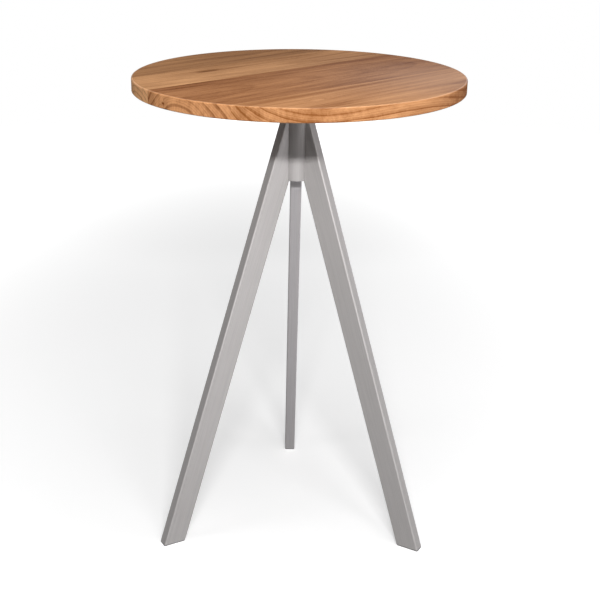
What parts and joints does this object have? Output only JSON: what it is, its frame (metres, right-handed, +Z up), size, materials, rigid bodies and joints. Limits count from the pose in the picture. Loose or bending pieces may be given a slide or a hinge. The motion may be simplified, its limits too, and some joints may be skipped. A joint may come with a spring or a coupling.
{
  "type": "bar table",
  "caption": "Round high table: edge-glued hardwood top on a splayed tripod of flat steel tube welded round a central hub.",
  "frame": {"origin": "on the floor, under the centre of the round top", "axes": "+Z up, and +Y from the centre line towards the rear leg, with +X to the right seen from the front"},
  "size_m": [0.7, 0.7, 1.05],
  "materials": {
    "teak": "oiled, low sheen",
    "brushed_steel": "satin, brushed along the tubes",
    "black_plastic": "moulded, matt",
    "fastener_steel": "plain",
    "insert_brass": "plain"
  },
  "bodies": {
    "root": {"top_board_1": "teak", "top_board_2": "teak", "top_board_3": "teak", "top_board_4": "teak", "leg_rear": "brushed_steel", "leg_front_left": "brushed_steel", "leg_front_right": "brushed_steel", "hub_tube": "brushed_steel", "hub_end_disc": "brushed_steel", "mounting_plate": "brushed_steel", "foot_plug_rear": "black_plastic", "foot_plug_front_left": "black_plastic", "foot_plug_front_right": "black_plastic", "plate_screws": "fastener_steel", "plate_washers": "fastener_steel", "threaded_inserts": "insert_brass"}
  },
  "joints": []
}
